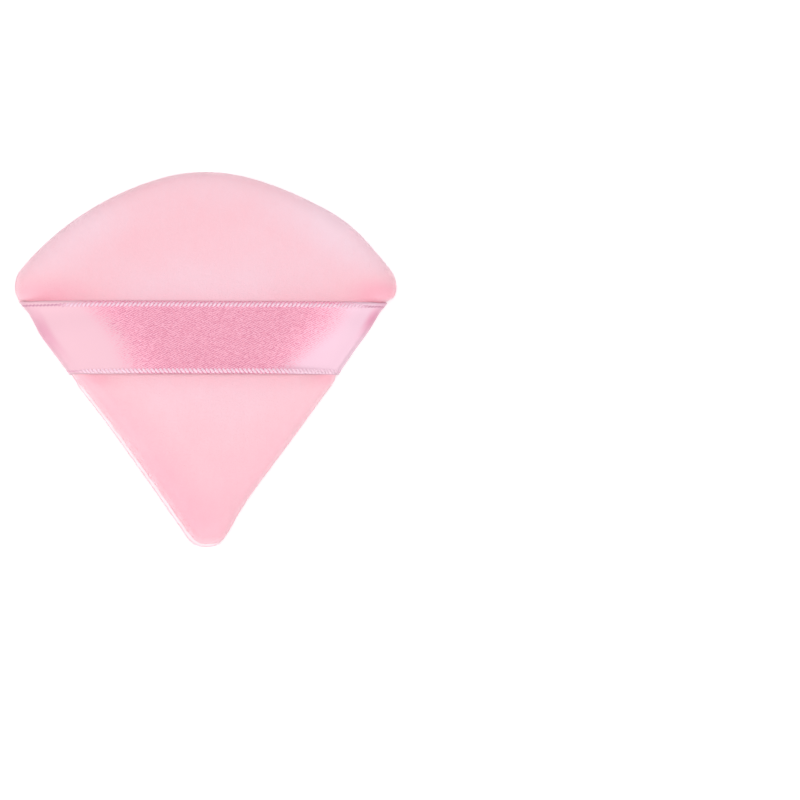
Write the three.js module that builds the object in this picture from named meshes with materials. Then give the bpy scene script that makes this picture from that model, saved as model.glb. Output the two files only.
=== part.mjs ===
// Powder puff: a fan-shaped velour pad with a satin ribbon strap across its grip side.
// Lengths are millimetres and angles are degrees. +Z is up, and +Y points to the round crown.
// The puff lies on its powder side. The origin is the middle of its footprint, on that surface.
import * as THREE from "three";

// Pad outline, seen from above
const puffWidth = 79.5; // across the two side corners
const puffHeight = 78; // from the tip to the top of the crown
const crownRadius = 35; // middle of the crown arc
const crownHalfAngle = 15; // where the crown arc meets the flatter flanks
const flankEndAngle = 50.4; // where a flank meets its side corner
const cornerRadius = 6;
const tipRadius = 4;
const sideDraw = 0.45; // how far each straight side pulls in at its middle

// Pad section
const padThickness = 11;
const crownRise = 1; // how far the grip face swells above its rim
const baseLift = 0.8; // how far the rim of the powder face stands off the surface it rests on
const edgeInset = 3.4; // width of the rolled edge
const coverWall = 0.7; // velour with its backing
const coreClearance = 0.3; // between the velour and the foam core
const bulgeShare = 0.34; // height of each roll's fullest part above the seam, of half the pad's thickness

// Seam between the two covers
const seamInset = 1; // depth of the groove where the covers are drawn together
const seamAllowance = 2.3; // turned-in hem of each cover
const ribbonClearance = 0.18; // between the ribbon and the velour that it touches
const threadRadius = 0.15;
const threadClearance = 0.15; // between a thread and the cloth it is sewn to
const closingLength = 24; // hand-sewn stretch that closes the turning gap
const closingTop = -8; // height up the right side where that stretch starts
const closingPitch = 2.4; // one crossing there and back
const closingSpreadShare = 0.3; // reach of a crossing above and below the seam, of the roll's rise
const closingInsetShare = 0.2; // how deep the crossings lie, of the groove's depth

// Ribbon strap
const ribbonWidth = 15; // standard satin ribbon
const ribbonThickness = 0.3;
const ribbonMiddle = 4.5; // place of the ribbon's centre line along Y
const fingerGap = 4.9; // from the swell of the grip face to the underside of the strap
const tailShare = 0.87; // how far the ribbon's end reaches between the hems, of their width
const shoulderRun = 0.8; // flat stretch of the sewn end past the edge roll
const shoulderGap = 0.3;
const slopeLength = 19; // width of each sloping stretch of the free strap

// Fineness of the surfaces, in steps
const crownSteps = 6;
const flankSteps = 7;
const cornerSteps = 8;
const sideSteps = 6;
const tipSteps = 8;
const rollSteps = 3;
const threadSides = 6;
const strapSteps = 40;
const ribbonRows = 4;

const velourPink = new THREE.Color(0xfbc4d2);
const ribbonPink = new THREE.Color(0xf2a3bf);
const foamWhite = new THREE.Color(0xfbf3ea);
const threadPink = new THREE.Color(0xf6b8cb);

const radians = THREE.MathUtils.degToRad;
const halfWidth = puffWidth / 2;
const halfHeight = puffHeight / 2;

// The outline is the round crown, two flatter flanks, two side corners, two sides that are
// straight but for a slight draw, and a tip.
// An outward direction is an angle from +Y, clockwise. Arcs meet where they share one.
const crownEnd = radians(crownHalfAngle);
const flankEnd = radians(flankEndAngle);
const flankRadius =
  (halfWidth - crownRadius * Math.sin(crownEnd) - cornerRadius * (1 - Math.sin(flankEnd))) /
  (Math.sin(flankEnd) - Math.sin(crownEnd));
const crownCentre = new THREE.Vector2(0, halfHeight - crownRadius);
const flankCentre = centreBefore(crownCentre, crownRadius, flankRadius, crownEnd);
const cornerCentre = centreBefore(flankCentre, flankRadius, cornerRadius, flankEnd);
const tipCentre = new THREE.Vector2(0, tipRadius - halfHeight);
const sideAngle = commonNormal(cornerCentre, cornerRadius, tipCentre, tipRadius);

// Every section line of the pad is the outline drawn in towards one centre, equally far from
// the crown and the straight sides, so an inset is the same on all of them.
const sideNormal = direction(sideAngle);
const sideReach = cornerCentre.dot(sideNormal) + cornerRadius;
const centreY = (halfHeight - sideReach) / (1 - sideNormal.y);
const padRadius = halfHeight - centreY;

const seamZ = padThickness / 2;
const bulgeRise = seamZ * bulgeShare;
const seamGap = ribbonThickness + 2 * ribbonClearance;
const lipRise = seamGap / 2;
const faceRimZ = padThickness - crownRise;
const bulgeTopZ = seamZ + bulgeRise;
const bulgeBaseZ = seamZ - bulgeRise;
const hemInset = seamInset + seamAllowance;
const shoulderInset = edgeInset + shoulderRun;

function direction(angle) {
  return new THREE.Vector2(Math.sin(angle), Math.cos(angle));
}

// Centre of an arc that leaves the one before it without a corner, at the given direction.
function centreBefore(centre, radius, nextRadius, angle) {
  return centre.clone().addScaledVector(direction(angle), radius - nextRadius);
}

// Outward direction of the straight line that touches two circles.
function commonNormal(a, radiusA, b, radiusB) {
  const between = a.clone().sub(b);
  const slope = Math.atan2(between.y, between.x);
  return Math.PI / 2 + Math.acos((radiusB - radiusA) / between.length()) - slope;
}

function arc(centre, radius, start, end, steps) {
  return Array.from({ length: steps }, (_, i) => {
    const angle = THREE.MathUtils.lerp(start, end, i / steps);
    return centre.clone().addScaledVector(direction(angle), radius);
  });
}

// Right half of the outline, from the top of the crown down to the tip.
function rightHalf() {
  const sideStart = cornerCentre.clone().addScaledVector(sideNormal, cornerRadius);
  const sideEnd = tipCentre.clone().addScaledVector(sideNormal, tipRadius);
  const side = Array.from({ length: sideSteps }, (_, i) => {
    const draw = sideDraw * Math.sin((Math.PI * i) / sideSteps);
    return sideStart.clone().lerp(sideEnd, i / sideSteps).addScaledVector(sideNormal, -draw);
  });
  return [
    ...arc(crownCentre, crownRadius, 0, crownEnd, crownSteps / 2),
    ...arc(flankCentre, flankRadius, crownEnd, flankEnd, flankSteps),
    ...arc(cornerCentre, cornerRadius, flankEnd, sideAngle, cornerSteps),
    ...side,
    ...arc(tipCentre, tipRadius, sideAngle, Math.PI, tipSteps / 2),
    new THREE.Vector2(0, -halfHeight),
  ];
}

const right = rightHalf();
const left = right.slice(1, -1).reverse().map((p) => new THREE.Vector2(-p.x, p.y));
const outline = [...right, ...left];

// A point of the outline moved in by an inset, at a height.
function insetPoint(p, inset, z) {
  const share = 1 - inset / padRadius;
  return new THREE.Vector3(p.x * share, centreY + (p.y - centreY) * share, z);
}

function ring([inset, z]) {
  return outline.map((p) => insetPoint(p, inset, z));
}

// Half width of the pad at a height up its face, for a section line with the given inset.
function sideX(y, inset) {
  const share = 1 - inset / padRadius;
  const level = centreY + (y - centreY) / share;
  const i = Math.max(1, right.findIndex((p) => p.y <= level));
  const [a, b] = [right[i - 1], right[i]];
  return share * THREE.MathUtils.mapLinear(level, a.y, b.y, a.x, b.x);
}

// Closed skin over a row of rings, with a fan of faces from each cap point to the ring at its end.
function skin(rings, [startCap, endCap]) {
  const count = rings[0].length;
  const last = (rings.length - 1) * count;
  const points = [...rings.flat(), startCap, endCap];
  const start = points.length - 2;
  const end = points.length - 1;
  const faces = [];
  for (let i = 0; i < count; i++) {
    const j = (i + 1) % count;
    for (let here = 0; here < last; here += count) {
      const next = here + count;
      faces.push([here + i, here + j, next + j], [here + i, next + j, next + i]);
    }
    faces.push([start, j, i], [end, last + i, last + j]);
  }
  return closedGeometry(points, faces);
}

// Indexed geometry of a closed surface, with its faces turned outwards.
function closedGeometry(points, faces) {
  const volume = faces.reduce((sum, [a, b, c]) => {
    const across = new THREE.Vector3().crossVectors(points[b], points[c]);
    return sum + points[a].dot(across);
  }, 0);
  const turned = volume < 0 ? faces.map(([a, b, c]) => [a, c, b]) : faces;
  const geometry = new THREE.BufferGeometry().setFromPoints(points);
  geometry.setIndex(turned.flat());
  geometry.computeVertexNormals();
  return geometry;
}

function middleOf(points) {
  const sum = points.reduce((total, p) => total.add(p), new THREE.Vector3());
  return sum.divideScalar(points.length);
}

function capped(rings) {
  return skin(rings, [middleOf(rings[0]), middleOf(rings[rings.length - 1])]);
}

// Points of a quarter of an ellipse, as [inset, height], from its widest point to its end.
function quarter(centreInset, centreZ, reach, rise, steps) {
  return Array.from({ length: steps + 1 }, (_, i) => {
    const turn = ((i / steps) * Math.PI) / 2;
    return [centreInset - reach * Math.cos(turn), centreZ + rise * Math.sin(turn)];
  });
}

// Section of an edge roll at a distance outside the velour, from the groove up or down to the rim.
// Signed heights make one function serve both covers.
function edgeRoll(bulgeZ, rimRise, away) {
  const up = Math.sign(rimRise);
  const lip = bulgeRise - lipRise + away;
  const fromGroove = quarter(seamInset, bulgeZ, seamInset + away, -up * lip, rollSteps).reverse();
  const toRim = quarter(edgeInset, bulgeZ, edgeInset + away, rimRise + up * away, rollSteps);
  return [...fromGroove, ...toRim.slice(1)];
}

// A section line inside the rim at a share of the way from the centre, and its swell there.
function faceRow(share, rimZ, rise) {
  const inset = padRadius - (padRadius - edgeInset) * share;
  return [inset, rimZ + rise * (1 - share * share)];
}

const faceShares = [0.8, 0.53, 0.27];
const baseFlatShares = [0.93, 0.5];

// A cover is a shell: velour over the face and its rolled edge, and a hem turned in at the seam.
function coverShell(outer, inner, hem, poleZ, innerPoleZ) {
  const rows = [...[...outer].reverse(), ...hem, ...inner];
  const caps = [poleZ, innerPoleZ].map((z) => new THREE.Vector3(0, centreY, z));
  return skin(rows.map(ring), caps);
}

function hemRows(up) {
  const near = seamZ + up * lipRise;
  const far = near + up * coverWall;
  return [
    [hemInset, near],
    [hemInset, far],
  ];
}

function frontCover() {
  const rimRise = faceRimZ - bulgeTopZ;
  const outer = [
    ...edgeRoll(bulgeTopZ, rimRise, 0),
    ...faceShares.map((s) => faceRow(s, faceRimZ, crownRise)),
  ];
  const inner = [
    ...edgeRoll(bulgeTopZ, rimRise, -coverWall),
    ...faceShares.map((s) => faceRow(s, faceRimZ - coverWall, crownRise)),
  ];
  return coverShell(outer, inner, hemRows(1), padThickness, padThickness - coverWall);
}

function backCover() {
  const rimRise = baseLift - bulgeBaseZ;
  const outer = [
    ...edgeRoll(bulgeBaseZ, rimRise, 0),
    ...baseFlatShares.map((s) => faceRow(s, 0, 0)),
  ];
  const inner = [
    ...edgeRoll(bulgeBaseZ, rimRise, -coverWall),
    ...baseFlatShares.map((s) => faceRow(s, coverWall, 0)),
  ];
  return coverShell(outer, inner, hemRows(-1), 0, coverWall);
}

// The core fills the covers, with a groove round its edge for the hems and their threads.
const grooveInset = hemInset + coreClearance;
const grooveRise = lipRise + coverWall + 2 * threadRadius + 2 * threadClearance;
const coreAway = coverWall + coreClearance;

function coreLip(bulgeZ, rimRise, up) {
  const corner = [seamInset + coreClearance, seamZ + up * grooveRise];
  const roll = quarter(
    edgeInset,
    bulgeZ,
    edgeInset - coreAway,
    rimRise - up * coreAway,
    rollSteps,
  ).slice(1);
  return [[grooveInset, seamZ + up * grooveRise], corner, ...roll];
}

function foamCore() {
  const top = [
    ...coreLip(bulgeTopZ, faceRimZ - bulgeTopZ, 1),
    ...faceShares.map((s) => faceRow(s, faceRimZ - coreAway, crownRise)),
  ];
  const base = [
    ...coreLip(bulgeBaseZ, baseLift - bulgeBaseZ, -1),
    ...baseFlatShares.map((s) => faceRow(s, coreAway, 0)),
  ];
  const caps = [padThickness - coreAway, coreAway].map((z) => new THREE.Vector3(0, centreY, z));
  return skin([...top.reverse(), ...base].map(ring), caps);
}

// The ribbon wraps the front edge roll. Its sewn ends tuck into the seam, between the hems.
const ribbonLow = ribbonMiddle - ribbonWidth / 2;
const shoulderShare = (padRadius - shoulderInset) / (padRadius - edgeInset);
const faceAtShoulder = faceRow(shoulderShare, faceRimZ, crownRise)[1];

// Inner or outer section line of a sewn end, as [inset, height].
function tailLine(away) {
  return [
    [seamInset + seamAllowance * tailShare, seamZ + lipRise - away],
    ...edgeRoll(bulgeTopZ, faceRimZ - bulgeTopZ, away),
    [shoulderInset, faceAtShoulder + away],
  ];
}

// One row of points from the ribbon's lower edge to its upper edge.
function across(point) {
  return Array.from({ length: ribbonRows + 1 }, (_, i) =>
    point(ribbonLow + (ribbonWidth * i) / ribbonRows),
  );
}

function ribbonSection(under, over) {
  return [...across(under), ...across(over).reverse()];
}

function ribbonTail(sign) {
  const outer = tailLine(ribbonClearance + ribbonThickness);
  const rings = tailLine(ribbonClearance).map(([inset, z], i) =>
    ribbonSection(
      (y) => new THREE.Vector3(sign * sideX(y, inset), y, z),
      (y) => new THREE.Vector3(sign * sideX(y, outer[i][0]), y, outer[i][1]),
    ),
  );
  return capped(rings);
}

// The free strap slopes up from both shoulders and is level between them.
const strapInset = shoulderInset + shoulderGap;
const strapFootZ = faceAtShoulder + ribbonClearance;
const strapBow = padThickness + fingerGap - strapFootZ;

function strapPoint(place, y, lift) {
  const reach = sideX(y, strapInset);
  const x = place * reach;
  const climb = Math.min(1, (reach - Math.abs(x)) / slopeLength);
  const z = strapFootZ + strapBow * (1 - (1 - climb) ** 2);
  return new THREE.Vector3(x, y, z + lift);
}

function ribbonStrap() {
  const rings = Array.from({ length: strapSteps + 1 }, (_, i) => {
    const place = (2 * i) / strapSteps - 1;
    return ribbonSection(
      (y) => strapPoint(place, y, 0),
      (y) => strapPoint(place, y, ribbonThickness),
    );
  });
  return capped(rings);
}

// Machine seam: one thread lies along the inside of each hem, and both stop at the turning gap.
const closingBottom = closingTop - closingLength * Math.sin(sideAngle);

// The part of the outline that the machine seam follows, from one side of the gap to the other.
function machineRun() {
  const above = right.filter((p) => p.y > closingTop);
  const below = right.filter((p) => p.y < closingBottom);
  const [start, end] = [closingBottom, closingTop].map((y) => new THREE.Vector2(sideX(y, 0), y));
  return [start, ...below, ...left, ...above, end];
}

const threadInset = seamInset + seamAllowance / 2;

function threadRing(centre, outward, up) {
  return Array.from({ length: threadSides }, (_, i) => {
    const turn = (2 * Math.PI * i) / threadSides;
    return centre
      .clone()
      .addScaledVector(outward, threadRadius * Math.cos(turn))
      .addScaledVector(up, threadRadius * Math.sin(turn));
  });
}

function tube(points) {
  const rings = points.map((p, i) => {
    const before = points[Math.max(i - 1, 0)];
    const after = points[Math.min(i + 1, points.length - 1)];
    const along = after.clone().sub(before).normalize();
    const outward = new THREE.Vector3(along.y, -along.x, 0).normalize();
    return threadRing(p, outward, new THREE.Vector3().crossVectors(along, outward));
  });
  return capped(rings);
}

function machineThread(up) {
  const rise = lipRise + coverWall + threadClearance + threadRadius;
  return tube(machineRun().map((p) => insetPoint(p, threadInset, seamZ + up * rise)));
}

// Hand-sewn ladder in the groove: the thread crosses from one cover to the other and back.
function closingStitch() {
  const inset = seamInset * closingInsetShare;
  const crossings = 2 * Math.round(closingLength / closingPitch);
  const points = Array.from({ length: crossings + 1 }, (_, i) => {
    const y = THREE.MathUtils.lerp(closingTop, closingBottom, i / crossings);
    const z = seamZ + bulgeRise * closingSpreadShare * (i % 2 ? 1 : -1);
    return new THREE.Vector3(sideX(y, inset), y, z);
  });
  return tube(points);
}

const velour = { color: velourPink, roughness: 0.95, metalness: 0 };
const satin = { color: ribbonPink, roughness: 0.4, metalness: 0 };
const foam = { color: foamWhite, roughness: 0.9, metalness: 0 };
const cotton = { color: threadPink, roughness: 0.8, metalness: 0 };

function piece(name, geometry, finish) {
  const mesh = new THREE.Mesh(geometry, new THREE.MeshStandardMaterial(finish));
  mesh.name = name;
  return mesh;
}

const pad = new THREE.Group();
pad.add(
  piece("front_cover", frontCover(), velour),
  piece("back_cover", backCover(), velour),
  piece("foam_core", foamCore(), foam),
  piece("needle_thread", machineThread(1), cotton),
  piece("bobbin_thread", machineThread(-1), cotton),
  piece("closing_stitch", closingStitch(), cotton),
  piece("ribbon_end_left", ribbonTail(-1), satin),
  piece("ribbon_end_right", ribbonTail(1), satin),
);

const strap = new THREE.Group();
strap.add(piece("ribbon_strap", ribbonStrap(), satin));

const group = new THREE.Group();
group.add(pad, strap);

export default group;
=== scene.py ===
"""Powder puff: a fan-shaped velour pad with a satin ribbon strap sewn across its grip side.

Lengths are metres. +Z is up and +Y points to the round crown. The puff lies on its powder
side, and the origin is the middle of its footprint, on that surface.
"""

import logging
from dataclasses import dataclass
from enum import Enum
from functools import cached_property
from typing import Any

import bpy
import numpy as np
from mathutils import Matrix, Vector


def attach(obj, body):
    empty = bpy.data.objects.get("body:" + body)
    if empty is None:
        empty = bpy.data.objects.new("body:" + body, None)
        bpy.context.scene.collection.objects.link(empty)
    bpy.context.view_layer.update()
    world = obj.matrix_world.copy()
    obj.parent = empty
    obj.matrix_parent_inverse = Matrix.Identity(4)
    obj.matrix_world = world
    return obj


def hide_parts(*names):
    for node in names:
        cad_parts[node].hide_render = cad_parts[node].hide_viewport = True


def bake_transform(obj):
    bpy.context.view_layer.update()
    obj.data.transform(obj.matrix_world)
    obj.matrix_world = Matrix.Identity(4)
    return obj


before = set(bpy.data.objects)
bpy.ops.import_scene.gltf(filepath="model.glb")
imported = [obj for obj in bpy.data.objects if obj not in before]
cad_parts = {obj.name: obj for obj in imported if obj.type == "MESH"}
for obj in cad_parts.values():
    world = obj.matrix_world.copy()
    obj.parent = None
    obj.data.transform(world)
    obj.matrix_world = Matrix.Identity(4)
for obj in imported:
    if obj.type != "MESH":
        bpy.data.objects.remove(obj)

LOG = logging.getLogger("powder_puff")
MM = 0.001
QUARTER_TURN = np.pi / 2
FULL_TURN = 2 * np.pi
RIBBON_LOW = -3 * MM
RIBBON_HIGH = 12 * MM
# Points, and faces as lists of point numbers.
Shape = tuple[np.ndarray, list[list[int]]]


class Side(Enum):
    """The two covers of the pad, as the way from the seam to each one's face."""

    FRONT = 1
    BACK = -1


def smooth_step(low: float, high: float, value: np.ndarray) -> np.ndarray:
    """Rises from 0 at low to 1 at high along a cubic that is level at both ends.

    Args:
        low: value at which the step starts; it may be above high, and then the step falls.
        high: value at which the step ends.
        value: where the step is read.

    Returns:
        Array of the same shape, from 0 to 1.
    """
    share = np.clip((value - low) / (high - low), 0, 1)
    return share * share * (3 - 2 * share)


def hump(value: np.ndarray, middle: float, reach: float) -> np.ndarray:
    """Bell of height 1 at middle that falls to about a third at one reach from it."""
    return np.exp(-(((value - middle) / reach) ** 2))


def ribbon_band(y: np.ndarray, outer: float, inner: float) -> np.ndarray:
    """Share that is 1 across the ribbon's width and fades to 0 past both of its edges.

    Args:
        y: heights up the face.
        outer: how far past an edge the share reaches 0.
        inner: how far past an edge it starts to fall, or inside the edge where negative.

    Returns:
        Array of the same shape, from 0 to 1.
    """
    low = smooth_step(RIBBON_LOW - outer, RIBBON_LOW - inner, y)
    return low * smooth_step(RIBBON_HIGH + outer, RIBBON_HIGH + inner, y)


def waves(points: np.ndarray, wavelength: float, count: int, seed: int) -> np.ndarray:
    """Soft unevenness: a sum of cosines along seeded directions, with lengths near one value.

    Args:
        points: array whose last axis holds the coordinates.
        wavelength: mean distance from crest to crest.
        count: number of cosines.
        seed: seed of the directions, lengths and phases.

    Returns:
        Array without the last axis, mostly between -1 and 1.
    """
    draw = np.random.default_rng(seed)
    directions = draw.normal(size=(points.shape[-1], count))
    directions /= np.linalg.norm(directions, axis=0)
    lengths = wavelength * draw.uniform(0.7, 1.5, count)
    phases = draw.uniform(0, FULL_TURN, count)
    turns = FULL_TURN * (points @ directions) / lengths + phases
    return np.cos(turns).sum(-1) / np.sqrt(2 * count)


def unit(vectors: np.ndarray) -> np.ndarray:
    """Vectors along the last axis, each drawn out or in to length 1."""
    return vectors / np.maximum(np.linalg.norm(vectors, axis=-1, keepdims=True), 1e-12)


def path_length(points: np.ndarray, axis: int = 0) -> np.ndarray:
    """Distance from the first point to each point of a path, along its steps."""
    steps = np.linalg.norm(np.diff(points, axis=axis), axis=-1)
    return np.insert(np.cumsum(steps, axis=axis), 0, 0, axis=axis)


def resample(values: np.ndarray, run: np.ndarray, places: np.ndarray) -> np.ndarray:
    """Rows of values read at other places along a path; run holds the length at each row."""
    return np.stack([np.interp(places, run, column) for column in values.T], 1)


def quarter_left(steps: np.ndarray) -> np.ndarray:
    """Flat vectors turned anticlockwise by a quarter turn."""
    return np.stack([-steps[..., 1], steps[..., 0]], -1)


def quarter_ellipse(
    centre: tuple[float, float],
    reach: float,
    rise: float,
    steps: int,
    last_turn: float = QUARTER_TURN,
) -> np.ndarray:
    """Points of an ellipse as (inset, height), from its widest point towards its end.

    The inset is the centre's less reach times the cosine of the turn, and the height is the
    centre's plus rise times its sine.

    Args:
        centre: inset and height of the centre.
        reach: how far the ellipse reaches outwards from the centre.
        rise: how far its end lies above the centre, or below it where negative.
        steps: number of steps.
        last_turn: turn at the last point.

    Returns:
        Array of steps + 1 rows.
    """
    turn = np.linspace(0, last_turn, steps + 1)
    return np.stack([centre[0] - reach * np.cos(turn), centre[1] + rise * np.sin(turn)], 1)


def ring_normals(rings: np.ndarray) -> np.ndarray:
    """Unit normals of a grid of closed rings, from the differences of neighbouring points.

    Args:
        rings: rows x columns x 3, closed along the columns.

    Returns:
        Array of the same shape. The sign follows the order of the rows and columns.
    """
    along = np.roll(rings, -1, axis=1) - np.roll(rings, 1, axis=1)
    across = np.gradient(rings, axis=0)
    return unit(np.cross(along, across))


def skin(rings: np.ndarray, caps: np.ndarray | None = None) -> Shape:
    """Closed skin over a row of rings, with a fan of triangles from a cap point at each end.

    Args:
        rings: rows x columns x 3.
        caps: the point that closes the first ring and the one that closes the last, or
            nothing for the middle of each.

    Returns:
        Points, and faces that all point outwards.
    """
    rows, columns = rings.shape[:2]
    if caps is None:
        caps = np.array([rings[0].mean(0), rings[-1].mean(0)])
    points = np.concatenate([rings.reshape(-1, 3), caps])
    here = np.arange(columns)
    beside = np.roll(here, -1)
    base = (np.arange(rows - 1) * columns)[:, None]
    quads = np.stack(
        [base + here, base + beside, base + columns + beside, base + columns + here], -1
    ).reshape(-1, 4)
    start, end = rows * columns, rows * columns + 1
    last = (rows - 1) * columns
    first_fan = np.stack([np.full(columns, start), beside, here], 1)
    last_fan = np.stack([np.full(columns, end), last + here, last + beside], 1)
    triangles = np.concatenate([quads[:, :3], quads[:, [0, 2, 3]], first_fan, last_fan])
    a, b, c = (points[triangles[:, i]] for i in range(3))
    if np.einsum("ij,ij->i", a, np.cross(b, c)).sum() < 0:
        quads, first_fan, last_fan = (f[:, ::-1] for f in (quads, first_fan, last_fan))
    return points, quads.tolist() + first_fan.tolist() + last_fan.tolist()


def joined(parts: list[Shape]) -> Shape:
    """Several bodies as the points and faces of one mesh."""
    starts = np.cumsum([0] + [len(points) for points, _ in parts[:-1]])
    faces = [[i + start for i in f] for (_, fs), start in zip(parts, starts) for f in fs]
    return np.concatenate([points for points, _ in parts]), faces


def placed(name: str, data: Any) -> bpy.types.Object:
    """New object that holds the data, linked to the scene."""
    made = bpy.data.objects.new(name, data)
    bpy.context.scene.collection.objects.link(made)
    return made


def mesh_piece(
    name: str,
    shape: Shape,
    material: bpy.types.Material,
    attributes: dict[str, np.ndarray] | None = None,
    uv: np.ndarray | None = None,
    smooth: bool = True,
) -> bpy.types.Object:
    """Object at the origin, with its place in its mesh.

    Args:
        name: name of the object.
        shape: points and faces.
        material: its finish.
        attributes: one number per point, by name.
        uv: two texture coordinates per point.
        smooth: whether it is shaded smoothly.

    Returns:
        The object, linked to the scene.
    """
    points, faces = shape
    mesh = bpy.data.meshes.new(name)
    mesh.from_pydata(points.tolist(), [], faces)
    mesh.polygons.foreach_set("use_smooth", np.full(len(faces), smooth))
    for key, values in (attributes or {}).items():
        layer = mesh.attributes.new(key, "FLOAT", "POINT")
        layer.data.foreach_set("value", values.astype(np.float32))
    if uv is not None:
        corner = np.empty(len(mesh.loops), np.int32)
        mesh.loops.foreach_get("vertex_index", corner)
        layer = mesh.uv_layers.new(name="ribbon")
        layer.uv.foreach_set("vector", uv[corner].astype(np.float32).ravel())
    mesh.materials.append(material)
    mesh.update()
    LOG.info("%s: %d points, %d faces", name, len(points), len(faces))
    return placed(name, mesh)


def linear(red: int, green: int, blue: int) -> tuple[float, float, float, float]:
    """Colour from its display values, 0 to 255, as the linear values that a shader takes."""
    share = np.array([red, green, blue]) / 255
    low, high = share / 12.92, ((share + 0.055) / 1.055) ** 2.4
    return (*np.where(share <= 0.04045, low, high).tolist(), 1.0)


class Graph:
    """Node tree of one material or of the world, built a node at a time."""

    def __init__(self, owner: bpy.types.Material | bpy.types.World) -> None:
        """Starts an empty tree on its owner."""
        self.owner = owner
        owner.use_nodes = True
        self.tree = owner.node_tree
        self.tree.nodes.clear()

    def node(self, kind: str, inputs: dict[Any, Any] | None = None, **settings: Any) -> Any:
        """Adds a node.

        Args:
            kind: its type, without the words ShaderNode in front.
            inputs: value or socket for each input, by name or number.
            settings: properties of the node.

        Returns:
            The node.
        """
        made = self.tree.nodes.new("ShaderNode" + kind)
        for key, value in settings.items():
            setattr(made, key, value)
        for key, value in (inputs or {}).items():
            if isinstance(value, bpy.types.NodeSocket):
                self.tree.links.new(value, made.inputs[key])
            else:
                made.inputs[key].default_value = value
        return made

    def math(self, operation: str, *values: Any, clamp: bool = False) -> Any:
        """Socket with the result of a sum, product or other operation on one to three values."""
        inputs = dict(enumerate(values))
        return self.node("Math", inputs, operation=operation, use_clamp=clamp).outputs[0]

    def line(self, value: Any, slope: Any, start: Any, clamp: bool = False) -> Any:
        """Socket with the value times a slope, plus a start."""
        return self.math("MULTIPLY_ADD", value, slope, start, clamp=clamp)

    def sway(self, noise: Any, swing: Any, level: Any, clamp: bool = False) -> Any:
        """Socket with a level that moves by the swing as the noise runs from 0 to 1.

        At the noise's middle, 0.5, it is the level itself.
        """
        return self.line(self.math("SUBTRACT", noise, 0.5), swing, level, clamp)

    def attribute(self, name: str) -> Any:
        """Socket with a number that the mesh holds for each point."""
        return self.node("Attribute", attribute_name=name).outputs["Fac"]

    def place(self) -> Any:
        """Socket with the place on the object, in its own frame."""
        return self.node("TexCoord").outputs["Object"]

    def noise(self, vector: Any, scale: float, detail: float, roughness: float = 0.5) -> Any:
        """Socket with soft noise, from 0 to 1 with its middle at 0.5."""
        inputs = {"Vector": vector, "Scale": scale, "Detail": detail, "Roughness": roughness}
        return self.node("TexNoise", inputs).outputs["Fac"]

    def ramp(self, factor: Any, stops: list[tuple[float, tuple]]) -> Any:
        """Socket with a colour that runs through the given places and colours."""
        made = self.node("ValToRGB", {"Fac": factor})
        elements = made.color_ramp.elements
        while len(elements) < len(stops):
            elements.new(0.5)
        for element, (place, colour) in zip(elements, stops):
            element.position = place
            element.color = colour
        return made.outputs["Color"]

    def blend(self, factor: Any, first: Any, second: Any) -> Any:
        """Socket with the first colour where the factor is 0 and the second where it is 1."""
        inputs = {"Factor": factor, 6: first, 7: second}
        return self.node("Mix", inputs, data_type="RGBA").outputs[2]

    def bump(self, height: Any, strength: float, distance: float) -> Any:
        """Socket with the normal of a relief of that depth."""
        inputs = {"Height": height, "Strength": strength, "Distance": distance}
        return self.node("Bump", inputs).outputs["Normal"]

    def principled(self, inputs: dict[str, Any]) -> None:
        """Ends the tree in the one shader that an export keeps."""
        shader = self.node("BsdfPrincipled", inputs)
        self.node("OutputMaterial", {"Surface": shader.outputs[0]})


@dataclass(frozen=True)
class Velour:
    """Short brushed pile: no gloss, a pale bloom where it turns away, mottling, and painted light,
    shade and sheen laid over it.
    """

    name: str = "velour"
    deep: tuple = linear(252, 182, 198)
    body: tuple = linear(252, 200, 211)
    pale: tuple = linear(249, 214, 226)
    # Near-white of the painted sheen and painted highlight.
    sheen_white: tuple = linear(255, 246, 249)
    patch: float = 11 * MM
    streak: float = 1.1 * MM
    streak_squash: float = 0.35
    tuft: float = 0.38 * MM
    patch_swing: float = 0.34
    streak_swing: float = 0.16
    tuft_swing: float = 0.2
    painted_light_swing: float = 0.5
    relief: float = 0.25 * MM

    def material(self) -> bpy.types.Material:
        """Makes the material; its colour follows two attributes of the mesh: painted light and shade,
        and painted sheen.
        """
        graph = Graph(bpy.data.materials.new(self.name))
        place = graph.place()
        squash = (1, self.streak_squash, 1)
        drawn = graph.node("Mapping", {"Vector": place, "Scale": squash}).outputs[0]
        patches = graph.noise(place, 1 / self.patch, 3)
        streaks = graph.noise(drawn, 1 / self.streak, 3)
        tufts = graph.noise(place, 1 / self.tuft, 2, 0.6)
        level = graph.sway(patches, self.patch_swing, 0.5)
        level = graph.sway(streaks, self.streak_swing, level)
        level = graph.sway(tufts, self.tuft_swing, level)
        # Painted light and shade: the first attribute moves the colour paler or deeper.
        level = graph.line(graph.attribute("painted_light_and_shade"), self.painted_light_swing, level, clamp=True)
        nap_and_painted_light = graph.ramp(level, [(0.0, self.deep), (0.5, self.body), (1.0, self.pale)])
        # Painted sheen and highlight: near-white mixed in by the second attribute.
        colour = graph.blend(graph.attribute("painted_sheen"), nap_and_painted_light, self.sheen_white)
        height = graph.line(streaks, 0.5, tufts)
        graph.principled(
            {
                "Base Color": colour,
                "Roughness": 0.92,
                "Specular IOR Level": 0.25,
                "Sheen Weight": 0.8,
                "Sheen Roughness": 0.45,
                "Sheen Tint": linear(255, 240, 246),
                "Normal": graph.bump(height, 0.45, self.relief),
            }
        )
        return graph.owner


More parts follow.
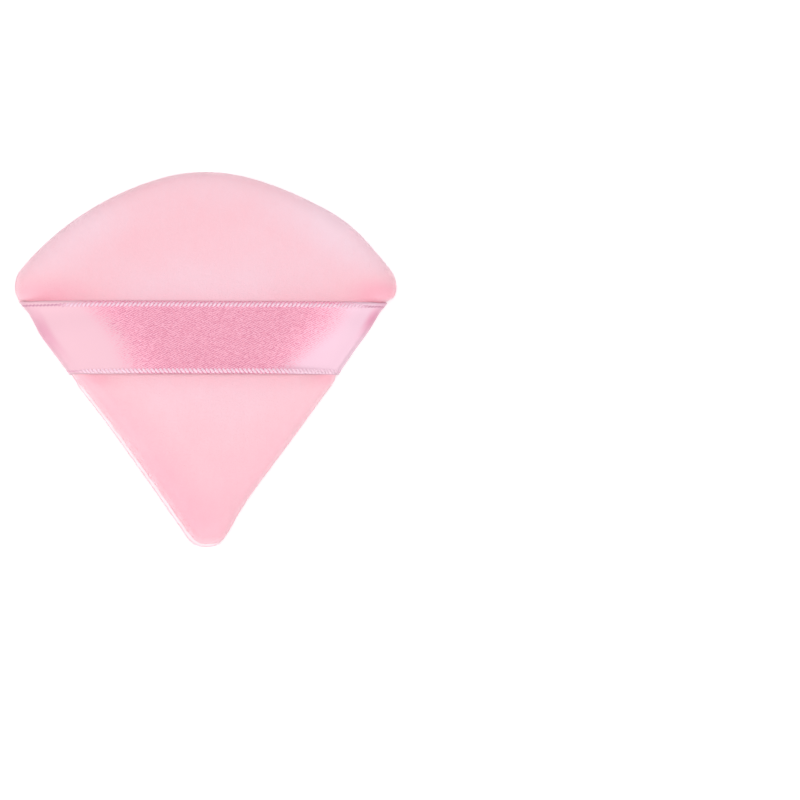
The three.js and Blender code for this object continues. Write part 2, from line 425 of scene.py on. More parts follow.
@dataclass(frozen=True)
class Satin:
    """Polyester satin: long floats along the ribbon that shine when it tilts along its length."""

    name: str = "satin"
    shade: tuple = linear(214, 116, 150)
    body: tuple = linear(238, 155, 180)
    light: tuple = linear(250, 186, 208)
    # Painted gloss of the tilted ends, one pale colour for each end.
    left_end_gloss: tuple = linear(227, 178, 192)
    right_end_gloss: tuple = linear(226, 182, 201)
    # Deep pink of the painted fold shade over each roll.
    painted_fold_shade: tuple = linear(214, 136, 166)
    float_pitch: float = 0.4
    float_length: float = 0.5
    float_width: float = 0.18
    float_lean: float = 0.48
    broken_swing: float = 4.4
    broken_level: float = 0.6
    patch: float = 1.0
    turned_level: float = 0.55
    busy_swing: float = 1.4
    scatter: float = 6.0
    change_reach: float = 20.0
    relief: float = 0.03 * MM

    def material(self) -> bpy.types.Material:
        """Makes the material; its weave follows the ribbon's UV map, which is in millimetres.

        The weave fades out towards the ribbon's ends, where one attribute of the mesh falls to 0.
        Halfway there its floats scatter, so the change has a ragged edge. The ends have a pale
        colour each, painted gloss of the tilted satin, which runs from one to the other round the
        middle. A second attribute paints a deep pink fold shade where it rises to 1.
        """
        graph = Graph(bpy.data.materials.new(self.name))
        laid = graph.node("UVMap", uv_map="ribbon").outputs[0]
        rising = self.floats(graph, laid, self.float_lean)
        falling = self.floats(graph, laid, -self.float_lean)
        weave_share, painted_fold_shade = graph.attribute("weave_share"), graph.attribute("painted_fold_shade")
        patches = graph.noise(laid, 1 / self.patch, 1)
        turned = graph.math("GREATER_THAN", patches, self.turned_level)
        crossed = graph.line(turned, graph.math("SUBTRACT", falling, rising), rising)
        busy = graph.sway(graph.noise(laid, 0.25 / self.patch, 1), self.busy_swing, 1.0)
        busy = graph.math("MULTIPLY", busy, weave_share)
        weave = graph.sway(crossed, busy, 0.5)
        stops = [(0.15, self.shade), (0.5, self.body), (0.85, self.light)]
        part = graph.math("MULTIPLY", weave_share, graph.math("SUBTRACT", 1.0, weave_share))
        part = graph.math("MULTIPLY", part, -self.scatter)
        weave_over_gloss = graph.sway(crossed, part, weave_share, clamp=True)
        along = graph.node("SeparateXYZ", {"Vector": laid}).outputs["X"]
        to_right = graph.line(along, 0.5 / self.change_reach, 0.5, clamp=True)
        # The ends take the painted gloss colours in place of the weave.
        ends = graph.blend(to_right, self.left_end_gloss, self.right_end_gloss)
        colour = graph.blend(weave_over_gloss, ends, graph.ramp(weave, stops))
        colour = graph.blend(painted_fold_shade, colour, self.painted_fold_shade)
        tangent = graph.node("Tangent", direction_type="UV_MAP", uv_map="ribbon")
        graph.principled(
            {
                "Base Color": colour,
                "Metallic": 0.1,
                "Roughness": 0.34,
                "Specular IOR Level": 1.0,
                "Anisotropic": 0.7,
                "Anisotropic Rotation": 0.25,
                "Tangent": tangent.outputs[0],
                "Normal": graph.bump(weave, 0.35, self.relief),
            }
        )
        return graph.owner

    def floats(self, graph: Graph, laid: Any, lean: float) -> Any:
        """Socket with the floats of yarn along one lean, from 0 to 1 with its middle at 0.5.

        They are wavy lines one pitch apart, broken up by noise that is drawn out along them.
        The period of a wave texture is a tenth of pi over its scale.
        """
        along = graph.node("Mapping", {"Vector": laid, "Rotation": (0, 0, -lean)}).outputs[0]
        lines = graph.node(
            "TexWave",
            {
                "Vector": along,
                "Scale": np.pi / 10 / self.float_pitch,
                "Distortion": 2.6,
                "Detail": 1.0,
                "Detail Scale": 2.2,
            },
            bands_direction="Y",
        ).outputs["Fac"]
        stretch = (1 / self.float_length, 1 / self.float_width, 1)
        drawn = graph.node("Mapping", {"Vector": along, "Scale": stretch}).outputs[0]
        broken = graph.noise(drawn, 1.0, 0)
        broken = graph.sway(broken, self.broken_swing, self.broken_level, clamp=True)
        return graph.sway(lines, broken, 0.5)


@dataclass(frozen=True)
class SpunThread:
    """Spun thread: a soft shine and fine fibres."""

    name: str
    body: tuple
    light: tuple
    fibres_per_metre: float = 9000

    def material(self) -> bpy.types.Material:
        """Makes the material, with fibres as fine noise on the object's own place."""
        graph = Graph(bpy.data.materials.new(self.name))
        fibres = graph.noise(graph.place(), self.fibres_per_metre, 3)
        colour = graph.ramp(fibres, [(0.3, self.body), (0.7, self.light)])
        graph.principled(
            {
                "Base Color": colour,
                "Roughness": 0.55,
                "Sheen Weight": 0.25,
                "Sheen Roughness": 0.4,
                "Normal": graph.bump(fibres, 0.4, 0.05 * MM),
            }
        )
        return graph.owner


@dataclass(frozen=True)
class SelvedgeYarn:
    """Bright yarn of the ribbon's corded edges, with painted shade down between its turns and painted
    light on their tops.
    """

    name: str = "selvedge"
    # Painted shade down between the turns, up to painted light on their tops.
    gap: tuple = linear(186, 122, 150)
    body: tuple = linear(222, 165, 187)
    crown: tuple = linear(245, 208, 224)
    fibres_per_metre: float = 7000
    fibre_swing: float = 0.3

    def material(self) -> bpy.types.Material:
        """Makes the material; its colour follows the attribute "rise" of the cords, as painted shade
        and light.
        """
        graph = Graph(bpy.data.materials.new(self.name))
        fibres = graph.noise(graph.place(), self.fibres_per_metre, 2)
        level = graph.sway(fibres, self.fibre_swing, graph.attribute("rise"))
        stops = [(0.2, self.gap), (0.5, self.body), (0.8, self.crown)]
        graph.principled(
            {
                "Base Color": graph.ramp(level, stops),
                "Roughness": 0.55,
                "Specular IOR Level": 0.4,
                "Normal": graph.bump(fibres, 0.3, 0.04 * MM),
            }
        )
        return graph.owner


@dataclass(frozen=True)
class Foam:
    """Open-cell foam: matt, with round pores of two sizes, darkened with painted shade."""

    name: str = "foam"
    body: tuple = linear(252, 243, 232)
    # Painted shade in the pores.
    pore_shade: tuple = linear(226, 208, 190)
    cell: float = 0.6 * MM

    def material(self) -> bpy.types.Material:
        """Makes the material, with its pores on the object's own place."""
        graph = Graph(bpy.data.materials.new(self.name))
        place = graph.place()
        cells = graph.node("TexVoronoi", {"Vector": place, "Scale": 1 / self.cell})
        fine = graph.noise(place, 3 / self.cell, 2)
        depth = graph.line(fine, 0.35, cells.outputs["Distance"])
        colour = graph.ramp(depth, [(0.15, self.pore_shade), (0.5, self.body)])
        graph.principled(
            {
                "Base Color": colour,
                "Roughness": 0.95,
                "Normal": graph.bump(depth, 0.7, 0.3 * MM),
            }
        )
        return graph.owner


@dataclass(frozen=True)
class Swell:
    """Place where the sewn outline is fuller than its pattern, or drawn in where negative."""

    x: float
    y: float
    reach: float
    depth: float

    def push(self, points: np.ndarray) -> np.ndarray:
        """How far each point moves outwards: a bell round the place."""
        away = np.linalg.norm(points - np.array([self.x, self.y]), axis=-1)
        return self.depth * hump(away, 0, self.reach)


@dataclass(frozen=True)
class FanOutline:
    """Outline seen from above: a round crown, flatter flanks, side corners, sides and a tip.

    An outward direction is an angle from +Y, clockwise, and neighbouring arcs share one. The
    ribbon draws the pad in at its two ends, and the filling is a little uneven elsewhere.
    """

    width: float = 79.5 * MM
    height: float = 78 * MM
    crown_radius: float = 35 * MM
    crown_half_angle: float = 15
    flank_end_angle: float = 50.4
    corner_radius: float = 6 * MM
    tip_radius: float = 4 * MM
    side_draw: float = 0.3 * MM
    nip_right: float = 0.42 * MM
    fineness: int = 400
    swells: tuple[Swell, ...] = (
        Swell(0, 38 * MM, 18 * MM, 0.35 * MM),
        Swell(29 * MM, 28 * MM, 9 * MM, 0.9 * MM),
        Swell(17 * MM, 34 * MM, 9 * MM, 0.2 * MM),
        Swell(38 * MM, 9.5 * MM, 4 * MM, -0.8 * MM),
        Swell(32 * MM, 2 * MM, 9 * MM, -0.45 * MM),
        Swell(10 * MM, -28 * MM, 9 * MM, -0.35 * MM),
        Swell(4.5 * MM, -36.5 * MM, 3.5 * MM, 0.35 * MM),
        Swell(-37 * MM, 9.5 * MM, 3.5 * MM, -0.6 * MM),
        Swell(-29 * MM, -6 * MM, 7 * MM, 0.3 * MM),
        Swell(-34 * MM, 4 * MM, 6 * MM, 0.3 * MM),
        Swell(0, -39.5 * MM, 3 * MM, -0.4 * MM),
    )

    @staticmethod
    def direction(angle: Any) -> np.ndarray:
        """Unit vector at an angle from +Y, clockwise."""
        return np.stack([np.sin(angle), np.cos(angle)], -1)

    @cached_property
    def right(self) -> np.ndarray:
        """Right half of the outline, from the top of the crown down to the tip.

        Each arc is its centre plus its radius times the outward direction. The centres follow
        from the shared directions, and each side is the straight line that touches the corner
        and the tip, drawn in by half a sine wave.
        """
        crown_end, flank_end = np.radians([self.crown_half_angle, self.flank_end_angle])
        crown_centre = np.array([0, self.height / 2 - self.crown_radius])
        flank_radius = (
            self.width / 2
            - self.crown_radius * np.sin(crown_end)
            - self.corner_radius * (1 - np.sin(flank_end))
        ) / (np.sin(flank_end) - np.sin(crown_end))
        crown_gap = self.crown_radius - flank_radius
        flank_centre = crown_centre + crown_gap * self.direction(crown_end)
        flank_gap = flank_radius - self.corner_radius
        corner_centre = flank_centre + flank_gap * self.direction(flank_end)
        tip_centre = np.array([0, self.tip_radius - self.height / 2])
        between = corner_centre - tip_centre
        lean = np.arccos((self.tip_radius - self.corner_radius) / np.linalg.norm(between))
        side_angle = QUARTER_TURN + lean - np.arctan2(between[1], between[0])
        normal = self.direction(side_angle)

        def arc(centre: np.ndarray, radius: float, start: float, end: float) -> np.ndarray:
            """Points of an arc between two outward directions, without its last one."""
            angles = np.linspace(start, end, self.fineness, endpoint=False)
            return centre + radius * self.direction(angles)

        share = np.linspace(0, 1, self.fineness, endpoint=False)[:, None]
        start = corner_centre + self.corner_radius * normal
        end = tip_centre + self.tip_radius * normal
        side = start + (end - start) * share
        side -= self.side_draw * np.sin(np.pi * share) * normal
        return np.concatenate(
            [
                arc(crown_centre, self.crown_radius, 0, crown_end),
                arc(flank_centre, flank_radius, crown_end, flank_end),
                arc(corner_centre, self.corner_radius, flank_end, side_angle),
                side,
                arc(tip_centre, self.tip_radius, side_angle, np.pi),
                [[0, -self.height / 2]],
            ]
        )

    def half(self, hand: int) -> np.ndarray:
        """Right half of the outline, for hand 1, or the left one, for -1, with its swells.

        Each point moves along its normal, which is the step between its neighbours turned by a
        quarter turn. The ribbon nips the right side over its own width.
        """
        out = unit(quarter_left(np.gradient(self.right, axis=0))) * [hand, 1]
        points = self.right * [hand, 1]
        push = sum(swell.push(points) for swell in self.swells)
        if hand > 0:
            push = push - self.nip_right * ribbon_band(points[:, 1], 1.5 * MM, -0.5 * MM)
        return points + out * push[:, None]

    @cached_property
    def side_normal(self) -> np.ndarray:
        """Outward direction of the right side."""
        start, end = self.right[3 * self.fineness], self.right[4 * self.fineness]
        return quarter_left(unit(end - start))

    @cached_property
    def centre_y(self) -> float:
        """Height of the point that is equally far from the crown and from both sides."""
        reach = self.right[3 * self.fineness] @ self.side_normal
        return (self.height / 2 - reach) / (1 - self.side_normal[1])

    @cached_property
    def radius(self) -> float:
        """How far that point is from the crown and from both sides."""
        return self.height / 2 - self.centre_y

    def closed(self, count: int) -> np.ndarray:
        """Whole outline as evenly spaced points, clockwise from the top of the crown."""
        right = self.half(1)
        loop = np.concatenate([right, self.half(-1)[-2:0:-1], right[:1]])
        run = path_length(loop)
        places = np.linspace(0, run[-1], count, endpoint=False)
        return resample(loop, run, places)

    def rings(self, rows: np.ndarray, count: int) -> np.ndarray:
        """Section lines of the pad: the outline scaled towards its centre, lifted to a height.

        Args:
            rows: an inset and a height for each section line.
            count: number of points on each.

        Returns:
            Array of rows x count x 3.
        """
        centre = np.array([0, self.centre_y])
        share = (1 - rows[:, 0] / self.radius)[:, None, None]
        flat = centre + (self.closed(count) - centre) * share
        heights = np.broadcast_to(rows[:, 1, None, None], (*flat.shape[:2], 1))
        return np.concatenate([flat, heights], -1)

    def edge_x(self, y: Any, inset: Any, hand: int) -> np.ndarray:
        """Place across of a section line at a height up the face, right or left by the hand."""
        share = 1 - np.asarray(inset) / self.radius
        level = self.centre_y + (np.asarray(y) - self.centre_y) / share
        half = self.half(hand)[::-1]
        return share * np.interp(level, half[:, 1], half[:, 0])


@dataclass(frozen=True)
class PadSection:
    """Section through the edge of the pad: two rolls that meet in the groove of the seam."""

    thickness: float = 11 * MM
    crown_rise: float = 1 * MM
    base_lift: float = 0.8 * MM
    edge_inset: float = 3.4 * MM
    wall: float = 0.7 * MM
    core_clearance: float = 0.3 * MM
    bulge_share: float = 0.34
    seam_inset: float = 1 * MM
    seam_allowance: float = 2.3 * MM
    ribbon_thickness: float = 0.3 * MM
    ribbon_clearance: float = 0.18 * MM
    thread_radius: float = 0.15 * MM
    thread_clearance: float = 0.15 * MM
    groove_steps: int = 9
    roll_steps: int = 14
    face_steps: int = 36
    press_depth: float = 0.5 * MM
    middle_share: float = 0.02
    base_curve: float = 2.2 * MM

    def press(self, y: np.ndarray, inset: np.ndarray) -> np.ndarray:
        """How far the upper corner of each end of the ribbon presses into the front roll.

        It grows with the height up the ribbon's end, fades out over the first part of the
        face, and ends just above the ribbon's upper edge.
        """
        rise = smooth_step(RIBBON_LOW, RIBBON_HIGH - 3 * MM, y)
        beyond = smooth_step(RIBBON_HIGH + 1.4 * MM, RIBBON_HIGH, y)
        return self.press_depth * rise * beyond * smooth_step(6 * MM, 1.2 * MM, inset)

    @cached_property
    def seam_z(self) -> float:
        """Height of the seam."""
        return self.thickness / 2

    @cached_property
    def lip_rise(self) -> float:
        """Half the gap between the two hems, which holds the ribbon's ends."""
        return self.ribbon_thickness / 2 + self.ribbon_clearance

    @cached_property
    def bulge_rise(self) -> float:
        """Height of the fullest part of a roll above or below the seam."""
        return self.seam_z * self.bulge_share

    @cached_property
    def hem_inset(self) -> float:
        """Inset of the raw edge of each hem."""
        return self.seam_inset + self.seam_allowance

    def bulge_z(self, side: Side) -> float:
        """Height of the fullest part of one cover's roll."""
        return self.seam_z + side.value * self.bulge_rise

    def rim_z(self, side: Side) -> float:
        """Height at which one cover's roll runs into its face."""
        return self.thickness - self.crown_rise if side is Side.FRONT else self.base_lift

    def roll(self, side: Side, away: float) -> np.ndarray:
        """Section of an edge roll, from the groove over its fullest part to the rim.

        It is two quarter ellipses that share their widest point.

        Args:
            side: which cover.
            away: distance outside the velour, or inside it where negative.

        Returns:
            Rows of inset and height.
        """
        middle = self.bulge_z(side)
        lip = self.bulge_rise - self.lip_rise + away
        rise = self.rim_z(side) - middle + side.value * away
        groove = quarter_ellipse(
            (self.seam_inset, middle), self.seam_inset + away, -side.value * lip, self.groove_steps
        )
        rim = quarter_ellipse(
            (self.edge_inset, middle), self.edge_inset + away, rise, self.roll_steps
        )
        return np.concatenate([groove[::-1], rim[1:]])

    def face(self, side: Side, radius: float, away: float) -> np.ndarray:
        """Section of a face from just inside the rim to its middle.

        The grip face swells by the square of the way to its rim. The powder face has a short
        quarter of an ellipse inside its rim and is flat from there on, where it rests.

        Args:
            side: which cover.
            radius: how far the middle is from the edge.
            away: distance outside the velour, or inside it where negative.

        Returns:
            Rows of inset and height.
        """
        share = np.linspace(1, self.middle_share, self.face_steps + 1)[1:]
        inset = radius - (radius - self.edge_inset) * share
        rim = self.rim_z(side) + side.value * away
        if side is Side.FRONT:
            return np.stack([inset, rim + self.crown_rise * (1 - share**2)], 1)
        down = smooth_step(self.edge_inset, self.edge_inset + self.base_curve, inset)
        return np.stack([inset, rim - self.base_lift * down], 1)


@dataclass(frozen=True)
class Filling:
    """Pressure of the filling: a cloth simulation that lets a cover swell between its seams.

    Blender's cloth suits furniture better than a puff, so a coarse copy of the cover is
    simulated at a larger scale. The way that each point went is scaled back, kept under a limit
    and spread over the fine grid.
    """

    enlarged: float = 10
    pressure: float = 4
    frames: int = 20
    most: float = 0.5 * MM
    row_step: int = 2
    column_step: int = 6
    smoothing: int = 12

    def swell(self, name: str, rings: np.ndarray, held: np.ndarray) -> np.ndarray:
        """How far each point of a cover moves when its filling presses it outwards.

        Args:
            name: name of the cover.
            rings: rows x columns x 3, from the middle of the face to the seam.
            held: share, from 0 to 1, by which each point is kept in its place.

        Returns:
            Array of the shape of rings.
        """
        rows = np.append(np.arange(0, len(rings) - 1, self.row_step), len(rings) - 1)
        coarse = rings[rows, :: self.column_step] * self.enlarged
        held = held[rows, :: self.column_step]
        points, faces = skin(coarse)
        mesh = bpy.data.meshes.new(name)
        mesh.from_pydata(points.tolist(), [], faces)
        cloth = placed(name, mesh)
        pins = cloth.vertex_groups.new(name="held")
        for index, weight in enumerate(np.append(held.ravel(), [held[0].mean(), 1]).tolist()):
            pins.add([index], weight, "REPLACE")
        self.dress(cloth.modifiers.new("cloth", "CLOTH"))
        for frame_number in range(1, self.frames + 1):
            bpy.context.scene.frame_set(frame_number)
        swollen = cloth.evaluated_get(bpy.context.evaluated_depsgraph_get()).data
        after = np.empty(len(points) * 3, np.float32)
        swollen.vertices.foreach_get("co", after)
        bpy.data.objects.remove(cloth)
        bpy.data.meshes.remove(mesh)
        bpy.context.scene.frame_set(1)
        moved = (after.reshape(-1, 3) - points)[:-2].reshape(coarse.shape) / self.enlarged
        far = np.linalg.norm(moved, axis=-1, keepdims=True)
        LOG.info("%s: swells by up to %.2f mm before the limit", name, far.max() / MM)
        moved *= self.most / (self.most + far)
        return self.spread(moved, rows, rings.shape)

    def dress(self, modifier: bpy.types.ClothModifier) -> None:
        """Sets the cloth: velour on foam, without gravity, held by its vertex group."""
        cloth = modifier.settings
        cloth.quality = 8
        cloth.mass = 0.3
        cloth.tension_stiffness = cloth.compression_stiffness = 15
        cloth.shear_stiffness = 5
        cloth.bending_stiffness = 0.5
        cloth.vertex_group_mass = "held"
        cloth.use_pressure = True
        cloth.uniform_pressure_force = self.pressure
        cloth.effector_weights.gravity = 0
        modifier.point_cache.frame_start = 1
        modifier.point_cache.frame_end = self.frames

    def spread(self, moved: np.ndarray, rows: np.ndarray, shape: tuple) -> np.ndarray:
        """Movement of the coarse grid on the fine one, smoothed between neighbours.

        It is linear along the rows and the columns, and is then averaged with its neighbours
        several times, round each ring and from ring to ring.

        Args:
            moved: movement of each coarse point.
            rows: rows of the fine grid that the coarse one holds.
            shape: shape of the fine grid.

        Returns:
            Movement of each fine point.
        """
        row = np.arange(shape[0])
        above = np.clip(np.searchsorted(rows, row, "right") - 1, 0, len(rows) - 2)
        down = ((row - rows[above]) / (rows[above + 1] - rows[above]))[:, None, None]
        fine = moved[above] * (1 - down) + moved[above + 1] * down
        column = np.arange(shape[1]) / self.column_step
        left = column.astype(int)
        along = (column - left)[:, None]
        right = (left + 1) % moved.shape[1]
        fine = fine[:, left] * (1 - along) + fine[:, right] * along
        for _ in range(self.smoothing):
            fine = (fine + (np.roll(fine, 1, 1) + np.roll(fine, -1, 1)) / 2) / 2
        for _ in range(self.smoothing // 4):
            fine[1:-1] = (fine[1:-1] + (fine[2:] + fine[:-2]) / 2) / 2
        return fine


@dataclass(frozen=True)
class PaintedPatch:
    """Patch of painted light, or of painted shade where the amount is negative."""

    x: float
    y: float
    reach_x: float
    reach_y: float
    amount: float

    def at(self, x: np.ndarray, y: np.ndarray) -> np.ndarray:
        """What it adds to the painted light and shade: a bell across the puff times a bell up the
        face.
        """
        return self.amount * hump(x, self.x, self.reach_x) * hump(y, self.y, self.reach_y)


@dataclass
class VelourCover:
    """One velour cover: its face, its edge roll and the hem turned in at the seam."""

    side: Side
    outline: FanOutline
    section: PadSection
    filling: Filling
    finish: bpy.types.Material
    columns: int = 576
    uneven_depth: float = 0.16 * MM
    uneven_length: float = 19 * MM
    pucker_pitch: float = 4.3 * MM
    pucker_depth: float = 0.3 * MM
    pucker_drift: float = 31 * MM
    pucker_change: float = 17 * MM
    ribbon_dent: float = 0.16 * MM
    back_spread: float = 0.32 * MM
    front_draw: float = 0.35 * MM
    closed_lip: float = 0.03 * MM
    pile_count: int = 36000
    pile_length: float = 0.27 * MM
    pile_width: float = 0.022 * MM
    pile_length_shares: tuple[float, float] = (0.55, 1.1)
    pile_lean: float = 0.42
    pile_comb: float = -0.15
    pile_painted_sheen_share: float = 0.15
    # Painted sheen on the crown's right, painted light above and below the ribbon's middle, and
    # painted shade in the side corners and just below the ribbon's ends.
    painted_patches: tuple[PaintedPatch, ...] = (
        PaintedPatch(17 * MM, 22 * MM, 13 * MM, 9 * MM, 0.3),
        PaintedPatch(-4 * MM, 14 * MM, 24 * MM, 6 * MM, 0.6),
        PaintedPatch(0, -7 * MM, 22 * MM, 5 * MM, 0.45),
        PaintedPatch(-33.5 * MM, 13 * MM, 8 * MM, 4 * MM, -1.2),
        PaintedPatch(36.5 * MM, 13.5 * MM, 6 * MM, 3.5 * MM, -1.68),
        PaintedPatch(25.5 * MM, -4 * MM, 4.5 * MM, 1.8 * MM, -0.7),
        PaintedPatch(-23.5 * MM, -4 * MM, 4.5 * MM, 1.8 * MM, -0.7),
    )

    @cached_property
    def node(self) -> str:
        """Name of the cover."""
        return f"{self.side.name.lower()}_cover"

    @cached_property
    def rows(self) -> np.ndarray:
        """Insets and heights of the outer skin, from the middle of the face to the groove."""
        face = self.section.face(self.side, self.outline.radius, 0)
        return np.concatenate([face[::-1], self.section.roll(self.side, 0)[::-1]])

    @cached_property
    def outer(self) -> np.ndarray:
        """Points of the outer skin with its relief, swollen by its filling."""
        smooth = self.outline.rings(self.rows, self.columns)
        outer = smooth + self.outward(smooth) * self.relief(smooth)[..., None]
        if self.side is Side.FRONT:
            above = smooth_step(self.section.seam_z, self.section.bulge_z(self.side), outer[..., 2])
            outer[..., 2] -= above * self.section.press(outer[..., 1], self.rows[:, :1])
        outer[..., :2] += self.stand_out(outer)
        outer += self.filling.swell(self.node, outer, self.held(outer))
        outer[..., 2] = np.maximum(outer[..., 2], 0)
        return outer

    def held(self, outer: np.ndarray) -> np.ndarray:
        """Share by which each point is kept in its place while the cover swells.

        The seam holds the groove, the ribbon's ends hold the roll under them on the front, and
        the surface that the puff lies on holds the powder face.

        Args:
            outer: outer skin.

        Returns:
            Rows x columns, from 0 to 1.
        """
        section, edge = self.section, self.section.edge_inset
        off_seam = np.abs(self.rows[:, 1:] - section.seam_z)
        seam = smooth_step(section.bulge_rise, 0.4 * section.bulge_rise, off_seam)
        inset, y = self.rows[:, :1], outer[..., 1]
        if self.side is Side.BACK:
            rest = smooth_step(1.2 * edge, 1.8 * edge, inset)
        else:
            band = ribbon_band(y, 2.5 * MM, MM)
            rest = band * smooth_step(2.4 * edge, 1.6 * edge, inset)
        return np.broadcast_to(np.maximum(seam, rest), y.shape)

    def lower_left(self, points: np.ndarray) -> np.ndarray:
        """Share of the lower left side and of the tip, below the ribbon."""
        below = smooth_step(RIBBON_LOW - 0.5 * MM, RIBBON_LOW - 2.5 * MM, points[..., 1])
        return below * smooth_step(6 * MM, 1 * MM, points[..., 0])

    def stand_out(self, outer: np.ndarray) -> np.ndarray:
        """Sideways shift of the roll along the lower left, where the back cover shows past the front.

        It goes along the outline's normal. It is full at the widest part of the roll and fades
        out towards the seam and the face.

        Args:
            outer: outer skin.

        Returns:
            Rows x columns x 2.
        """
        section = self.section
        outline = self.outline.closed(self.columns)
        along = np.roll(outline, -1, 0) - np.roll(outline, 1, 0)
        out = unit(quarter_left(along))
        off_seam = np.abs(self.rows[:, 1:] - section.seam_z)
        roll = smooth_step(section.lip_rise, section.bulge_rise, off_seam)
        roll = roll * smooth_step(1.3 * section.edge_inset, 0, self.rows[:, :1])
        far = -self.front_draw if self.side is Side.FRONT else self.back_spread
        return (far * roll * self.lower_left(outer))[..., None] * out

    def close_lips(self, rings: np.ndarray) -> None:
        """Brings the hems together, and onto the ribbon where its ends lie between them.

        A point near the seam moves towards it by the height of the open lip, and the move fades
        out at the widest part of the roll.

        Args:
            rings: all section lines of the cover, which are changed in place.
        """
        section = self.section
        off_seam = np.abs(rings[..., 2] - section.seam_z)
        near = smooth_step(section.bulge_rise, 1.6 * section.lip_rise, off_seam)
        ribbon = ribbon_band(rings[..., 1], 1.4 * MM, 0.2 * MM)
        rise = section.lip_rise - self.closed_lip - ribbon * section.ribbon_thickness / 2
        rings[..., 2] -= self.side.value * rise * near

    def outward(self, rings: np.ndarray) -> np.ndarray:
        """Unit normals of the outer skin that point away from the pad."""
        normals = ring_normals(rings)
        return normals * np.sign(normals[0, 0, 2]) * self.side.value

    def relief(self, smooth: np.ndarray) -> np.ndarray:
        """How far the velour stands off its smooth form, along its normal.

        It is the sum of a soft unevenness, of puckers that the seam draws into the roll, and
        on the front of a dent under each end of the ribbon.

        Args:
            smooth: points of the smooth form.

        Returns:
            Rows x columns.
        """
        inset = self.rows[:, :1]
        edge = self.section.edge_inset
        y = smooth[..., 1]
        seed = 20 + self.side.value
        rests = 1.0 if self.side is Side.FRONT else smooth_step(2.4 * edge, edge, inset)
        uneven = waves(smooth, self.uneven_length, 9, seed)
        hollow = self.uneven_depth * uneven * rests * smooth_step(0, edge, inset)
        run = path_length(self.outline.closed(self.columns))
        phase = FULL_TURN * run / self.pucker_pitch
        phase = phase + 2.4 * waves(run[:, None], self.pucker_drift, 5, seed + 2)
        strength = 0.55 + 0.45 * waves(run[:, None], self.pucker_change, 5, seed + 4)
        off_seam = np.abs(self.rows[:, 1:] - self.section.seam_z)
        lip = self.section.lip_rise
        near_seam = smooth_step(1.2 * self.section.bulge_rise, 0, off_seam)
        near_seam = near_seam * smooth_step(lip, 2.2 * lip, off_seam)
        puckers = -self.pucker_depth * strength * (0.5 + 0.5 * np.cos(phase)) * near_seam
        if self.side is Side.BACK:
            return hollow + puckers
        covered = ribbon_band(y, MM, -MM) * smooth_step(2 * edge, edge, inset)
        beside = hump(y, RIBBON_LOW - 2 * MM, 1.6 * MM) + hump(y, RIBBON_HIGH + 2 * MM, 1.6 * MM)
        beside = beside * (inset < 2 * edge)
        calm = (1 - covered) * (hollow + puckers)
        press = self.ribbon_dent * (0.5 * beside * smooth_step(2 * edge, edge, inset) - covered)
        return calm + press

    def painted_light_and_shade(self, points: np.ndarray, inset: np.ndarray) -> np.ndarray:
        """Painted light and shade on the velour: above 0 it is paler, and below 0 deeper pink.

        The crown's rim is pale, most of all on its flanks, as painted sheen. The patches add
        painted sheen on the crown's right, painted light just above and below the ribbon's middle
        that lifts the ribbon's shadow there, and painted shade in the side corners and just below
        both ends of the ribbon. It is also deeper along the sides below the ribbon, more so on the
        left, and in the tip.

        Args:
            points: points of the cover.
            inset: inset of each.

        Returns:
            Array without the last axis.
        """
        x, y = points[..., 0], points[..., 1]
        angle = np.degrees(np.arctan2(x, y - self.outline.centre_y))
        rim = smooth_step(10 * MM, 2 * MM, inset)
        flanks = 0.75 * hump(angle, -58, 20) + 0.4 * hump(angle, 0, 28) + hump(angle, 56, 24)
        sides = smooth_step(11 * MM, 2 * MM, inset) * smooth_step(-2 * MM, -9 * MM, y)
        sides = sides * (0.45 + 0.55 * smooth_step(8 * MM, -8 * MM, x))
        tip = smooth_step(-16 * MM, -36 * MM, y)
        patches = sum(shade.at(x, y) for shade in self.painted_patches)
        return 0.9 * rim * flanks + patches - 0.55 * sides - 0.3 * tip

    def painted_sheen(self, points: np.ndarray, inset: np.ndarray) -> np.ndarray:
        """Share of near-white laid on the velour as painted sheen and painted highlight.

        It rises over the outer part of the roll as painted sheen, and it is high above the widest
        part of the back cover's roll, along the lower left and the tip where it shows past the
        front one, as a painted highlight.

        Args:
            points: points of the cover.
            inset: inset of each.

        Returns:
            Array without the last axis.
        """
        share = 0.15 * smooth_step(1.2 * MM, 0.2 * MM, inset)
        if self.side is Side.BACK:
            bulge = self.section.bulge_z(self.side)
            upper = smooth_step(bulge + 0.2 * MM, bulge + 0.9 * MM, points[..., 2])
            share = share + 0.6 * upper * self.lower_left(points)
        return share

    def build(self) -> list[bpy.types.Object]:
        """Makes the cover and its pile.

        Returns:
            The cover, then its pile.
        """
        section, side = self.section, self.side
        lip = section.seam_z + side.value * section.lip_rise
        inner_face = section.face(side, self.outline.radius, -section.wall)
        hem = [[section.hem_inset, lip], [section.hem_inset, lip + side.value * section.wall]]
        inner = np.concatenate([hem, section.roll(side, -section.wall), inner_face])
        rings = np.concatenate([self.outer, self.outline.rings(inner, self.columns)])
        self.close_lips(rings)
        shape = skin(rings)
        inset = np.concatenate([self.rows[:, 0], inner[:, 0]]).repeat(self.columns)
        inset = np.append(inset, [self.outline.radius] * 2)
        # Painted light and shade, and painted sheen, for each point.
        nap_and_painted_light = {"painted_light_and_shade": self.painted_light_and_shade(shape[0], inset), "painted_sheen": self.painted_sheen(shape[0], inset)}
        cover = mesh_piece(self.node + "_velour", shape, self.finish, nap_and_painted_light)
        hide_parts(self.node)
        return [cover, self.pile()]

